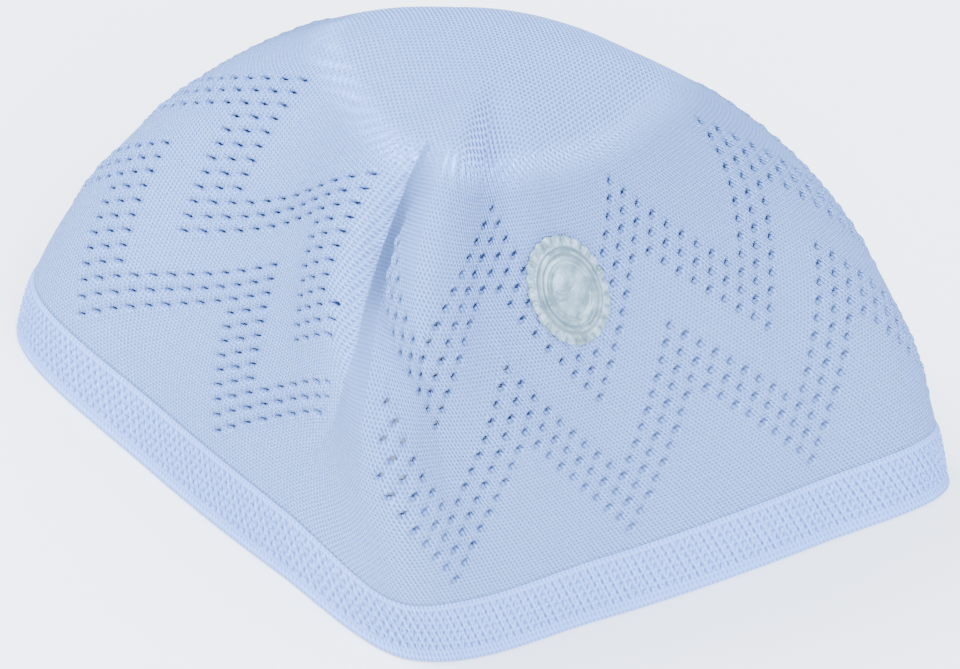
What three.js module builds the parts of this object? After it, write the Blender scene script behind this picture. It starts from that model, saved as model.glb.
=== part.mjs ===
// Kufi cap: a white knitted cotton skullcap that stands on its rim, opening down.
// Millimetres, +Z up. The origin lies on the surface that the cap stands on, below the middle of its box.
// The cap is longest along X, and its front corner and ridge point towards -Y.

import * as THREE from 'three';

// Driving dimensions
const capLength = 240; // across the standing cap, from its left corner to its right corner
const frontReach = 82; // from the line between those corners to the front corner
const backReach = 46; // from the same line to the back
const capHeight = 125; // to the apex
const apexAcross = 8; // where the apex lies over the plan
const apexBack = 4;
const crownWall = 1.8; // thickness of the knitted wall
const bandHeight = 19; // moss stitch band round the rim
const bandWall = 2.2;
const bandProud = 0.3; // how far the band stands out past the crown
const hemWidth = 3.4; // rolled hem along the rim
const hemHeight = 2.6;
const seamGap = 0.3; // between two pieces that touch
const eyeletWidth = 2.8; // pierced gaps of the zigzags
const eyeletHeight = 3.2;
const ridgeRaise = 6.5; // rounded ridge from the front corner to the apex
const ridgeLeftWidth = 20; // half width of its soft left flank
const ridgeRightWidth = 8; // half width of its steeper right flank
const pleatDepth = 6; // crease on the right of the ridge's upper half
const pleatWidth = 4;
const pleatAside = 5.5; // from the ridge line to the bottom of the crease
const pleatOverlap = 3.5; // how far the ridge leans over the crease
const badgeLength = 28; // clear oval badge on the front right panel
const badgeWidth = 19.5;
const badgeTilt = 16; // degrees that its top leans to the left
const flangeThickness = 0.9;
const badgeRise = 1.5; // ring and dome of the badge, above its flange's underside
const scallopDepth = 0.35;

// The knit: a lattice of half steps round the cap and rows up it
const stepsPerRepeat = 18; // one zigzag, from valley to valley
const repeats = 11;
const plainSteps = 9; // plain fabric under the ridge that the pleat takes in higher up
const plainStepsLeft = 3; // width that it still shows there
const rowsToApex = 40;
const bandRows = 3.25; // rows that the band is as high as
const cornerStep = -4.3; // half step that lies on the front corner
const backStretch = 0.035; // how much wider the knit is stretched at the back than at the front

// Sections from the rim to the apex, in order round the cap from the front corner to the right.
// wale: share of the way round. across: rim point as a share of half the length. fore: the same
// along Y, a share of frontReach where negative and of backReach where positive. rise: height of
// the wall's first handle as a share of capHeight. lean: how far that handle moves out from the
// rim, and crown: how far the top handle reaches out from the apex, both as shares of the rim's
// distance from the apex.
const sections = [
  { wale: 0.0, across: 0.1, fore: -1.0, rise: 0.6, lean: 0.06, crown: 0.6 },
  { wale: 0.09, across: 0.43, fore: -0.67, rise: 0.56, lean: 0.0, crown: 0.6 },
  { wale: 0.19, across: 0.8, fore: -0.15, rise: 0.54, lean: -0.06, crown: 0.58 },
  { wale: 0.265, across: 1.0, fore: 0.4, rise: 0.52, lean: -0.08, crown: 0.6 },
  { wale: 0.36, across: 0.65, fore: 0.82, rise: 0.6, lean: 0.02, crown: 0.62 },
  { wale: 0.49, across: 0.08, fore: 1.0, rise: 0.66, lean: 0.12, crown: 0.7 },
  { wale: 0.62, across: -0.5, fore: 0.86, rise: 0.6, lean: 0.04, crown: 0.62 },
  { wale: 0.72, across: -0.97, fore: 0.5, rise: 0.36, lean: -0.04, crown: 0.54 },
  { wale: 0.78, across: -0.98, fore: 0.0, rise: 0.26, lean: -0.02, crown: 0.54 },
  { wale: 0.86, across: -0.61, fore: -0.41, rise: 0.28, lean: -0.06, crown: 0.6 },
  { wale: 0.94, across: -0.24, fore: -0.75, rise: 0.36, lean: -0.02, crown: 0.58 },
];

// Soft dents and swells. wale: where they lie round the cap. spread: their half width as a share
// of the way round. foot, belly, neck and top: shares of the height where they begin, are full,
// start to fade and end. raise: outwards, as a share of ridgeRaise.
const dents = [
  { wale: 0.036, spread: 0.018, foot: 0.42, belly: 0.58, neck: 0.76, top: 0.92, raise: 0.4 },
  { wale: 0.066, spread: 0.022, foot: 0.34, belly: 0.55, neck: 0.78, top: 0.94, raise: -0.8 },
  { wale: 0.105, spread: 0.03, foot: 0.3, belly: 0.5, neck: 0.7, top: 0.9, raise: 0.25 },
  { wale: 0.03, spread: 0.02, foot: 0.12, belly: 0.25, neck: 0.4, top: 0.5, raise: -0.35 },
  { wale: 0.93, spread: 0.03, foot: 0.1, belly: 0.25, neck: 0.45, top: 0.7, raise: -0.25 },
  { wale: 0.56, spread: 0.04, foot: 0.25, belly: 0.5, neck: 0.65, top: 0.9, raise: -0.5 },
  { wale: 0.4, spread: 0.04, foot: 0.2, belly: 0.45, neck: 0.6, top: 0.85, raise: -0.4 },
];

// Formulas shared by the pieces
const clamp = THREE.MathUtils.clamp;
const fade = THREE.MathUtils.smoothstep;
const bell = (x, width) => Math.exp(-((x / width) ** 2));
const wrap = (share) => share - Math.floor(share);
const sampleCount = 40;

const rows = sections.map((section) => ({
  ...section,
  x: (section.across * capLength) / 2,
  y: section.fore * (section.fore < 0 ? frontReach : backReach),
}));

// A column of the table at any share of the way round: a smooth closed cubic through its rows.
function around(column, share) {
  const count = rows.length;
  const at = wrap(share);
  let low = count - 1;
  while (rows[low].wale > at) low -= 1;
  const station = (k) => rows[(k + count) % count].wale + Math.floor((k + count) / count) - 1;
  const value = (k) => rows[(k + count) % count][column];
  const [x0, x1, x2, x3] = [low - 1, low, low + 1, low + 2].map(station);
  const [y0, y1, y2, y3] = [low - 1, low, low + 1, low + 2].map(value);
  const span = x2 - x1;
  const t = (at - x1) / span;
  const leave = ((y2 - y0) / (x2 - x0)) * span;
  const arrive = ((y3 - y1) / (x3 - x1)) * span;
  const start = (1 + 2 * t) * (1 - t) ** 2 * y1 + t * (1 - t) ** 2 * leave;
  return start + t * t * (3 - 2 * t) * y2 + t * t * (t - 1) * arrive;
}

// One section: a cubic Bezier from the rim to the apex, walked at an even pace.
const sectionCache = new Map();
function sectionAt(share) {
  const key = wrap(share).toFixed(7);
  if (sectionCache.has(key)) return sectionCache.get(key);
  const [x, y, rise, lean, crown] = ['x', 'y', 'rise', 'lean', 'crown'].map((c) => around(c, share));
  const apex = new THREE.Vector3(apexAcross, apexBack, capHeight);
  const outX = x - apex.x;
  const outY = y - apex.y;
  const curve = new THREE.CubicBezierCurve3(
    new THREE.Vector3(x, y, 0),
    new THREE.Vector3(x + lean * outX, y + lean * outY, rise * capHeight),
    new THREE.Vector3(apex.x + crown * outX, apex.y + crown * outY, 1.02 * capHeight),
    apex,
  );
  curve.arcLengthDivisions = sampleCount;
  sectionCache.set(key, curve);
  return curve;
}

// The ridge leans to the left between foot and head, two shares of the height, and the fabric
// beside it follows, further on its right than on its left. The others are shares of the way round.
const ridgeLean = { aside: -0.047, leftReach: 0.1, rightReach: 0.14, foot: 0.15, head: 0.65 };
function plainSkin(share, up) {
  const off = wrap(share + 0.5) - 0.5;
  const aside = ridgeLean.aside * fade(up, ridgeLean.foot, ridgeLean.head);
  const reach = off < 0 ? ridgeLean.leftReach : ridgeLean.rightReach;
  return sectionAt(share + aside * bell(off, reach)).getPointAt(clamp(up, 0, 1));
}

// How full a fold is at a height: it rises from its foot to its belly and dies away to its top.
const levelOf = (fold, up) => fade(up, fold.foot, fold.belly) * (1 - fade(up, fold.neck, fold.top));
const ridgeRun = { foot: 0.02, belly: 0.3, neck: 0.72, top: 0.92 };
const pleatRun = { foot: 0.42, belly: 0.62, neck: 0.78, top: 0.92 };

// The outer skin with its ridge, pleat and dents.
const probe = 0.001;
function outerSkin(share, up) {
  const point = plainSkin(share, up);
  const along = plainSkin(share + probe, up).sub(plainSkin(share - probe, up));
  const climb = plainSkin(share, Math.min(1, up + probe)).sub(plainSkin(share, Math.max(0, up - probe)));
  const pace = along.length() / (2 * probe);
  const out = along.clone().cross(climb).normalize();
  const off = wrap(share + 0.5) - 0.5;
  const beside = off * pace; // millimetres to the right of the ridge line
  const flank = beside < 0 ? ridgeLeftWidth : ridgeRightWidth;
  const ridge = levelOf(ridgeRun, up) * bell(beside, flank);
  const pleat = levelOf(pleatRun, up);
  let raise = ridgeRaise * ridge - pleatDepth * pleat * bell(beside - pleatAside, pleatWidth);
  for (const dent of dents) {
    const away = wrap(share - dent.wale + 0.5) - 0.5;
    raise += dent.raise * ridgeRaise * levelOf(dent, up) * bell(away, dent.spread);
  }
  const sideways = pleatOverlap * pleat * bell(beside, pleatAside);
  return point.addScaledVector(out, raise).addScaledVector(along.normalize(), sideways);
}

// A point at a depth below the outer skin.
function skin(share, up, depth) {
  const top = Math.min(up, 1 - 4 * probe);
  const along = outerSkin(share + probe, top).sub(outerSkin(share - probe, top));
  const climb = outerSkin(share, top + probe).sub(outerSkin(share, Math.max(0, top - probe)));
  const out = along.cross(climb).normalize();
  if (up >= 1) out.set(0, 0, 1);
  return outerSkin(share, up).addScaledVector(out, -depth);
}

// Share of the way round where a half step lies at a height: the plain fabric under the ridge is
// taken in towards the ridge line, and the knit on its left slides after it.
const totalSteps = stepsPerRepeat * repeats + plainSteps;
const plainRight = -stepsPerRepeat / 2;
const plainLeft = plainRight - plainSteps;
const slideReach = { left: 80, right: 30, up: 0.45 }; // in half steps, and as a share of the height
function shareOfStep(step, up) {
  const along = step > plainLeft + totalSteps - 1e-6 ? step - totalSteps : step;
  const taken = fade(up, 0, slideReach.up);
  const slideRight = cornerStep - plainRight;
  const slideLeft = slideRight + plainSteps - plainStepsLeft;
  let slide = slideRight * clamp(1 - (along - plainRight) / slideReach.right, 0, 1);
  if (along < plainRight) {
    slide = slideLeft + ((slideRight - slideLeft) * (along - plainLeft)) / plainSteps;
  } else if (along > totalSteps / 2) {
    slide = slideLeft * clamp(1 + (along - totalSteps - plainLeft) / slideReach.left, 0, 1);
  }
  const even = (along - cornerStep + taken * slide) / totalSteps;
  return even - (backStretch * Math.sin(2 * Math.PI * even)) / (2 * Math.PI);
}

// Share of a section's length at a row of the knit. The band is equally high all round.
function upOfRow(share, row) {
  const band = (bandHeight + seamGap) / sectionAt(share).getLength();
  return band + ((1 - band) * (row - bandRows)) / (rowsToApex - bandRows);
}

// Collects triangles and makes a mesh of them.
class Shell {
  constructor() {
    this.points = [];
    this.faces = [];
  }
  add(point) {
    this.points.push(point.x, point.y, point.z);
    return this.points.length / 3 - 1;
  }
  quad(a, b, c, d) {
    this.faces.push(a, b, c, a, c, d);
  }
  mesh(name, material) {
    const geometry = new THREE.BufferGeometry();
    geometry.setAttribute('position', new THREE.Float32BufferAttribute(this.points, 3));
    geometry.setIndex(this.faces);
    geometry.computeVertexNormals();
    const mesh = new THREE.Mesh(geometry, material);
    mesh.name = name;
    return mesh;
  }
}

// Joins rings of corners, each ring a list of vertex numbers, into a tube that closes on itself.
function joinRings(shell, rings) {
  rings.forEach((ring, k) => {
    const next = rings[(k + 1) % rings.length];
    ring.forEach((corner, c) => {
      const beside = (c + 1) % ring.length;
      shell.quad(corner, next[c], next[beside], ring[beside]);
    });
  });
}

// Columns of the crown's mesh, three half steps apart, and its rows
const stepsPerColumn = 3;
const columnsPerRepeat = stepsPerRepeat / stepsPerColumn;
const columnCount = totalSteps / stepsPerColumn;
const rowsPerCell = 1.5;
const cellsBelowLace = 2;
const laceCells = 14;
const plainRowsAbove = [0.18, 0.36, 0.55, 0.73, 0.88, 1.0];
const laceTop = bandRows + rowsPerCell * (cellsBelowLace + laceCells);
const rowLevels = [
  ...Array.from({ length: cellsBelowLace + laceCells + 1 }, (_, k) => bandRows + rowsPerCell * k),
  ...plainRowsAbove.map((part) => laceTop + part * (rowsToApex - laceTop)),
];
const stepOfColumn = (column) => plainRight + column * stepsPerColumn;

// Badge centre in the knit's half steps and rows
const badgeStep = 18;
const badgeRow = 22.3;
const upperZigzagCells = 7; // cells from the lower zigzag up to the upper one

// Pierced cells: in each repeat both zigzags climb two cells a column to a peak half way round it.
// Cells that the badge covers, and the peaks that the pleat hides, stay plain.
function pierced(column, cell) {
  const step = stepOfColumn(column);
  const inRepeats = column < repeats * columnsPerRepeat;
  const offPeak = Math.abs((column % columnsPerRepeat) - columnsPerRepeat / 2);
  const climb = 2 * (columnsPerRepeat / 2 - offPeak);
  const peakFirst = 2 * (columnsPerRepeat / 2) - climb;
  const level = cell - cellsBelowLace - (peakFirst > columnsPerRepeat ? 0 : peakFirst);
  const lower = level === 0;
  const upper = level === upperZigzagCells;
  const row = bandRows + rowsPerCell * (cell + 0.5);
  const underBadge = Math.abs(step - badgeStep) < 6 && Math.abs(row - badgeRow) < 4.5;
  const inPleat = upper && (step < plainRight + stepsPerColumn || step > totalSteps + plainLeft - 4);
  return inRepeats && (lower || upper) && !underBadge && !inPleat;
}

// Crown: the knitted dome above the band, one wall with its eyelets pierced through.
function makeCrown(material) {
  const shell = new Shell();
  const sides = [0, crownWall].map((depth) =>
    rowLevels.slice(0, -1).map((row) =>
      Array.from({ length: columnCount }, (_, column) => {
        const step = stepOfColumn(column);
        const share = shareOfStep(step, (row - bandRows) / (rowsToApex - bandRows));
        return shell.add(skin(share, upOfRow(share, row), depth));
      }),
    ),
  );
  const [outer, inner] = sides;
  const position = (corner) => new THREE.Vector3().fromArray(shell.points, 3 * corner);
  // A small diamond in the middle of a cell, with the cell's four corners round it.
  const diamond = (corners) => {
    const points = corners.map(position);
    const middle = points.reduce((sum, p) => sum.add(p), new THREE.Vector3()).divideScalar(4);
    const edge = (a, b, size) => {
      const way = points[a].clone().add(points[b]).divideScalar(2).sub(middle);
      return shell.add(middle.clone().addScaledVector(way.normalize(), size / 2));
    };
    return [
      edge(0, 1, eyeletHeight),
      edge(1, 2, eyeletWidth),
      edge(2, 3, eyeletHeight),
      edge(3, 0, eyeletWidth),
    ];
  };
  const frame = (corners, hole) => {
    for (let k = 0; k < 4; k += 1) {
      const next = (k + 1) % 4;
      shell.faces.push(corners[k], corners[next], hole[k]);
      shell.faces.push(corners[next], hole[next], hole[k]);
    }
  };
  for (let cell = 0; cell < rowLevels.length - 2; cell += 1) {
    for (let column = 0; column < columnCount; column += 1) {
      const beside = (column + 1) % columnCount;
      const corners = (side) => {
        const [low, high] = [side[cell], side[cell + 1]];
        return [low[column], low[beside], high[beside], high[column]];
      };
      if (!pierced(column, cell)) {
        shell.quad(...corners(outer));
        shell.quad(...corners(inner).reverse());
        continue;
      }
      const front = diamond(corners(outer));
      const back = diamond(corners(inner));
      frame(corners(outer), front);
      for (let k = 0; k < 4; k += 1) {
        const next = (k + 1) % 4;
        const ring = corners(inner);
        shell.faces.push(ring[next], ring[k], back[k]);
        shell.faces.push(back[next], ring[next], back[k]);
        shell.quad(front[k], front[next], back[next], back[k]);
      }
    }
  }
  const tops = [skin(0, 1, 0), skin(0, 1, crownWall)].map((point) => shell.add(point));
  const last = rowLevels.length - 2;
  for (let column = 0; column < columnCount; column += 1) {
    const beside = (column + 1) % columnCount;
    shell.faces.push(outer[last][column], outer[last][beside], tops[0]);
    shell.faces.push(inner[last][beside], inner[last][column], tops[1]);
    shell.quad(inner[0][column], inner[0][beside], outer[0][beside], outer[0][column]);
  }
  return shell.mesh('crown', material);
}

// Rim band: a firm strip of equal height, with the rolled hem as a thicker, flat-bottomed foot.
function makeRimBand(material) {
  const shell = new Shell();
  const hemOut = (hemWidth - bandWall) / 2;
  // Cross-section, as distance out from the skin and height above the surface below
  const outline = [
    [bandProud, bandHeight],
    [bandProud - bandWall, bandHeight],
    [bandProud - bandWall, hemHeight + hemOut],
    [bandProud - bandWall - hemOut, 0.6 * hemHeight],
    [bandProud - bandWall - 0.3 * hemOut, 0],
    [bandProud + 0.3 * hemOut, 0],
    [bandProud + hemOut, 0.6 * hemHeight],
    [bandProud, hemHeight + hemOut],
    [bandProud, (bandHeight + hemHeight) / 2],
  ];
  const rings = Array.from({ length: columnCount }, (_, column) => {
    const share = shareOfStep(stepOfColumn(column), 0);
    const length = sectionAt(share).getLength();
    return outline.map(([away, height]) => {
      const point = skin(share, height / length, -away);
      if (height === 0) point.z = 0;
      return shell.add(point);
    });
  });
  joinRings(shell, rings);
  return shell.mesh('rim_band', material);
}

// Badge: a clear oval plate that follows the panel, with a scalloped flange, a raised ring and a
// low dome inside it. Its face is bare.
const badgeSpokes = 48;
const badgeProfile = [
  // reach: share of the way from the middle to the edge. level: share of badgeRise.
  { reach: 0.3, level: 0.86 },
  { reach: 0.6, level: 0.72 },
  { reach: 0.68, level: 0.98 },
  { reach: 0.76, level: 0.98 },
  { reach: 0.82, level: 0.6 },
];
function makeBadge(material) {
  const shell = new Shell();
  const middleShare = shareOfStep(badgeStep, (badgeRow - bandRows) / (rowsToApex - bandRows));
  const middleUp = upOfRow(middleShare, badgeRow);
  const middle = skin(middleShare, middleUp, 0);
  const across = skin(middleShare + probe, middleUp, 0).sub(middle);
  const upward = skin(middleShare, middleUp + probe, 0).sub(middle);
  const pace = [across.length() / probe, upward.length() / probe];
  const out = across.clone().cross(upward).normalize();
  const right = across.normalize().applyAxisAngle(out, THREE.MathUtils.degToRad(badgeTilt));
  const top = out.clone().cross(right);
  // The skin straight below a point of the badge's own plane, found in a few corrections.
  const skinBelow = (a, b, height) => {
    const goal = middle.clone().addScaledVector(right, a).addScaledVector(top, b);
    let [share, up] = [middleShare, middleUp];
    const alongUp = upward.clone().normalize();
    for (let turn = 0; turn < 8; turn += 1) {
      const miss = goal.clone().sub(skin(share, up, 0));
      miss.addScaledVector(out, -miss.dot(out));
      const upMiss = miss.dot(alongUp);
      const sideMiss = miss.addScaledVector(alongUp, -upMiss).dot(right) / right.dot(across);
      share += sideMiss / pace[0];
      up += upMiss / pace[1];
    }
    return skin(share, up, -height);
  };
  const ring = (reach, height, scalloped) =>
    Array.from({ length: badgeSpokes }, (_, k) => {
      const angle = (2 * Math.PI * k) / badgeSpokes;
      const cut = scalloped && k % 2 ? scallopDepth : 0;
      const a = (reach * badgeWidth) / 2 - cut;
      const b = (reach * badgeLength) / 2 - cut;
      return shell.add(skinBelow(a * Math.cos(angle), b * Math.sin(angle), height));
    });
  const under = seamGap + 0.1;
  const face = shell.add(skinBelow(0, 0, under + badgeRise));
  const rings = [
    ...badgeProfile.map(({ reach, level }) => ring(reach, under + level * badgeRise, false)),
    ring(0.86, under + flangeThickness, false),
    ring(1, under + 0.7 * flangeThickness, true),
    ring(1, under, true),
    ring(0.5, under, false),
  ];
  const back = shell.add(skinBelow(0, 0, under));
  for (let k = 0; k < badgeSpokes; k += 1) {
    const next = (k + 1) % badgeSpokes;
    shell.faces.push(face, rings[0][k], rings[0][next]);
    for (let r = 0; r < rings.length - 1; r += 1) {
      shell.quad(rings[r][k], rings[r + 1][k], rings[r + 1][next], rings[r][next]);
    }
    const inmost = rings[rings.length - 1];
    shell.faces.push(back, inmost[next], inmost[k]);
  }
  return shell.mesh('badge', material);
}

const cotton = new THREE.MeshStandardMaterial({ color: 0xbdcdea, roughness: 0.92, metalness: 0 });
const bandCotton = new THREE.MeshStandardMaterial({ color: 0xb7c6e4, roughness: 0.94, metalness: 0 });
const clearPlastic = new THREE.MeshStandardMaterial({
  color: 0xb4c4c4,
  roughness: 0.25,
  metalness: 0,
  transparent: true,
  opacity: 0.75,
});

const cap = new THREE.Group();
cap.add(makeCrown(cotton), makeRimBand(bandCotton), makeBadge(clearPlastic));
const middle = new THREE.Box3().setFromObject(cap).getCenter(new THREE.Vector3());
cap.position.set(-middle.x, -middle.y, 0);

const kufiCap = new THREE.Group();
kufiCap.add(cap);

export default kufiCap;
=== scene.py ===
# %% [markdown]
# # A knitted kufi cap
# The object is a white cotton skullcap that stands on its own rim. It is knitted in one go: a
# jersey crown pierced by two zigzags of eyelets, and a firmer moss stitch band with a rolled hem.
# A clear oval badge is sewn on its front right panel. This lesson builds the cap's fine surfaces
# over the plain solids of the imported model, then lights and frames them.

# %% Load the frame
import math
import bpy
import numpy as np
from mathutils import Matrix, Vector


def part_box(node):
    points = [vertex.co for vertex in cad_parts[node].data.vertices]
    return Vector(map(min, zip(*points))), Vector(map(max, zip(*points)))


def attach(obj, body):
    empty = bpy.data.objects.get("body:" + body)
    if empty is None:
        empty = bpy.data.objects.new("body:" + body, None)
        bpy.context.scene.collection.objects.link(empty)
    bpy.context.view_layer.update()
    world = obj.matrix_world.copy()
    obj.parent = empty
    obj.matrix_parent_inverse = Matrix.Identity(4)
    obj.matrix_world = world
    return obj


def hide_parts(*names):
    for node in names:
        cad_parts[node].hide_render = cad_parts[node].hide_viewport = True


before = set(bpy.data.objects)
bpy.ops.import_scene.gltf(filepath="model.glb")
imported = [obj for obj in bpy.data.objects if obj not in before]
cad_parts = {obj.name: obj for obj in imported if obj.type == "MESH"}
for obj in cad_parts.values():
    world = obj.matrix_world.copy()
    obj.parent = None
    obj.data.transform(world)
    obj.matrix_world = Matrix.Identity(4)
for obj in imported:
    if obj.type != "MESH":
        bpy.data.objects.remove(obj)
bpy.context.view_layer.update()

# %% [markdown]
# ## The shape of the cap
# The form could be sculpted or blown up by a cloth simulation, but the real cap's slump is one
# particular shape, so it is drawn as a designer would: a short table of sections round the cap,
# each a Bezier curve from the rim to the apex. Folds and dents are then added to that skin as soft
# bells. All lengths below are millimetres, and one factor turns them into Blender's metres.

# %% Sizes of the cap
MM = 0.001
CAP_LENGTH, FRONT_REACH, BACK_REACH, CAP_HEIGHT = 240.0, 82.0, 46.0, 125.0
APEX = np.array([8.0, 4.0, CAP_HEIGHT])
CROWN_WALL, BAND_HEIGHT, BAND_WALL, BAND_PROUD = 1.8, 19.0, 2.2, 0.3
HEM_WIDTH, HEM_HEIGHT, SEAM_GAP = 3.4, 2.6, 0.3
RIDGE = {"raise": 6.5, "left": 20.0, "right": 8.0, "foot": 0.02, "belly": 0.3, "neck": 0.66, "top": 0.9}
PLEAT = {"depth": 5.0, "width": 4.5, "aside": 5.5, "overlap": 3.0,
         "foot": 0.42, "belly": 0.6, "neck": 0.64, "top": 0.86}
RIDGE_LEAN = {"aside": -0.047, "left": 0.1, "right": 0.14, "foot": 0.15, "head": 0.65}
# wale (share of the way round), rim across, rim fore, rise, lean and crown of the section's handles
SECTIONS = np.array([
    (0.000, 0.10, -1.00, 0.60, 0.06, 0.60),
    (0.090, 0.43, -0.67, 0.56, 0.00, 0.60),
    (0.190, 0.80, -0.15, 0.54, -0.06, 0.58),
    (0.265, 1.00, 0.40, 0.52, -0.08, 0.60),
    (0.360, 0.65, 0.82, 0.60, 0.02, 0.62),
    (0.490, 0.08, 1.00, 0.66, 0.12, 0.70),
    (0.620, -0.50, 0.86, 0.60, 0.04, 0.62),
    (0.720, -0.97, 0.50, 0.36, -0.04, 0.54),
    (0.780, -0.98, 0.00, 0.26, -0.02, 0.54),
    (0.860, -0.61, -0.41, 0.28, -0.06, 0.60),
    (0.940, -0.24, -0.75, 0.36, -0.02, 0.58),
])
# wale, spread, foot, belly, neck, top and raise (a share of the ridge's) of each soft dent
DENTS = [
    (0.036, 0.018, 0.42, 0.58, 0.76, 0.92, 0.40),
    (0.066, 0.022, 0.34, 0.55, 0.78, 0.94, -0.80),
    (0.105, 0.030, 0.30, 0.50, 0.70, 0.90, 0.25),
    (0.030, 0.020, 0.12, 0.25, 0.40, 0.50, -0.35),
    (0.930, 0.030, 0.10, 0.25, 0.45, 0.70, -0.25),
    (0.560, 0.040, 0.25, 0.50, 0.65, 0.90, -0.50),
    (0.400, 0.040, 0.20, 0.45, 0.60, 0.85, -0.40),
]
print("cap", CAP_LENGTH, "x", FRONT_REACH + BACK_REACH, "x", CAP_HEIGHT, "mm")


# %% Curves that the skin is made of
def fade(x, low, high):
    """Rises smoothly from 0 at low to 1 at high: 3t squared minus 2t cubed."""
    t = np.clip((x - low) / (high - low), 0, 1)
    return t * t * (3 - 2 * t)


def bell(x, width):
    """One at zero and falling off to both sides: e to the minus (x over width) squared."""
    return np.exp(-(x / width) ** 2)


def off_share(share, wale):
    """Signed distance between two shares of the way round, from minus a half to a half."""
    return np.mod(share - wale + 0.5, 1) - 0.5


def around(values, share):
    """A smooth closed cubic through the table's values at the sections' wales."""
    wale = SECTIONS[:, 0]
    knots = np.concatenate([wale[-2:] - 1, wale, wale[:3] + 1])
    height = np.concatenate([values[-2:], values, values[:3]])
    at = np.mod(share, 1.0)
    k = np.clip(np.searchsorted(knots, at, side="right") - 1, 1, len(knots) - 3)
    x0, x1, x2, x3 = (knots[k + n] for n in (-1, 0, 1, 2))
    y0, y1, y2, y3 = (height[k + n] for n in (-1, 0, 1, 2))
    span = x2 - x1
    t = (at - x1) / span
    leave, arrive = (y2 - y0) / (x2 - x0) * span, (y3 - y1) / (x3 - x1) * span
    start = (1 + 2 * t) * (1 - t) ** 2 * y1 + t * (1 - t) ** 2 * leave
    return start + t * t * (3 - 2 * t) * y2 + t * t * (t - 1) * arrive


FORE = SECTIONS[:, 2] * np.where(SECTIONS[:, 2] < 0, FRONT_REACH, BACK_REACH)


def handles(share):
    """Four control points of the section at a share of the way round, stacked last but one."""
    x, y = around(SECTIONS[:, 1] * CAP_LENGTH / 2, share), around(FORE, share)
    rise, lean, crown = (around(SECTIONS[:, n], share) for n in (3, 4, 5))
    out_x, out_y = x - APEX[0], y - APEX[1]
    rim = np.stack([x, y, 0 * x], -1)
    wall = np.stack([x + lean * out_x, y + lean * out_y, rise * CAP_HEIGHT], -1)
    top = np.stack([APEX[0] + crown * out_x, APEX[1] + crown * out_y, 0 * x + 1.02 * CAP_HEIGHT], -1)
    return np.stack([rim, wall, top, np.broadcast_to(APEX, rim.shape)], -2)


def bezier(points, t):
    """Weights of a cubic Bezier curve, the powers of t and 1 - t, times its control points."""
    weights = np.stack([(1 - t) ** 3, 3 * (1 - t) ** 2 * t, 3 * (1 - t) * t * t, t ** 3], -1)
    return np.einsum("...k,...kd->...d", weights, points)


PACES = 40


def paced(share):
    """Distance walked along each section at even steps of its Bezier parameter."""
    points = handles(share)
    t = np.linspace(0, 1, PACES + 1)
    walk = bezier(points[..., None, :, :], np.broadcast_to(t, share.shape + (PACES + 1,)))
    steps = np.linalg.norm(np.diff(walk, axis=-2), axis=-1)
    return points, np.concatenate([np.zeros(share.shape + (1,)), np.cumsum(steps, -1)], -1)


def section_length(share):
    """Length of the section from the rim to the apex."""
    return paced(np.mod(share, 1.0))[1][..., -1]


def plain_skin(share, up):
    """The section's point at a share of its length, with the ridge line leaning to the left."""
    off = off_share(share, 0.0)
    aside = RIDGE_LEAN["aside"] * fade(up, RIDGE_LEAN["foot"], RIDGE_LEAN["head"])
    share = share + aside * bell(off, np.where(off < 0, RIDGE_LEAN["left"], RIDGE_LEAN["right"]))
    points, walked = paced(share)
    goal = np.clip(up, 0, 1) * walked[..., -1]
    k = np.clip((walked < goal[..., None]).sum(-1) - 1, 0, PACES - 1)
    low = np.take_along_axis(walked, k[..., None], -1)[..., 0]
    high = np.take_along_axis(walked, k[..., None] + 1, -1)[..., 0]
    return bezier(points, (k + (goal - low) / (high - low)) / PACES)


def unit(vectors):
    """Each vector divided by its own length."""
    return vectors / np.maximum(np.linalg.norm(vectors, axis=-1, keepdims=True), 1e-12)


def level(fold, up):
    """How full a fold is at a height: up from its foot to its belly, down from neck to top."""
    foot, belly, neck, top = fold
    return fade(up, foot, belly) * (1 - fade(up, neck, top))


PROBE = 0.001


def outer_skin(share, up):
    """Plain skin, moved out by the ridge and dents, in by the pleat, and sideways over the pleat."""
    share, up = np.broadcast_arrays(np.asarray(share, float), np.asarray(up, float))
    along = plain_skin(share + PROBE, up) - plain_skin(share - PROBE, up)
    climb = plain_skin(share, np.minimum(1, up + PROBE)) - plain_skin(share, np.maximum(0, up - PROBE))
    beside = off_share(share, 0.0) * np.linalg.norm(along, axis=-1) / (2 * PROBE)
    flank = np.where(beside < 0, RIDGE["left"], RIDGE["right"])
    run = ("foot", "belly", "neck", "top")
    pleat = level([PLEAT[k] for k in run], up)
    raised = RIDGE["raise"] * level([RIDGE[k] for k in run], up) * bell(beside, flank)
    raised = raised - PLEAT["depth"] * pleat * bell(beside - PLEAT["aside"], PLEAT["width"])
    for wale, spread, foot, belly, neck, top, share_of_ridge in DENTS:
        dent = level((foot, belly, neck, top), up) * bell(off_share(share, wale), spread)
        raised = raised + share_of_ridge * RIDGE["raise"] * dent
    sideways = PLEAT["overlap"] * pleat * bell(beside, PLEAT["aside"])
    out = unit(np.cross(along, climb))
    return plain_skin(share, up) + out * raised[..., None] + unit(along) * sideways[..., None]


rim = outer_skin(np.linspace(0, 1, 401), 0.0)
print("rim length:", round(float(np.linalg.norm(np.diff(rim, axis=0), axis=1).sum())), "mm")

# %% [markdown]
# ## The knit as a grid
# Knitting is a grid of its own, with wales running up and courses running round. The eyelets sit on
# a lattice of half steps round the cap and rows up it, so the mesh uses those as its parameters.
# The real crown isn't shaped: its spare fabric goes into the pleat behind the ridge. So the wales of
# the left panel run on parallel and reach the ridge one after another, and what the pleat hides is
# drawn together at the bottom of the crease.

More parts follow.
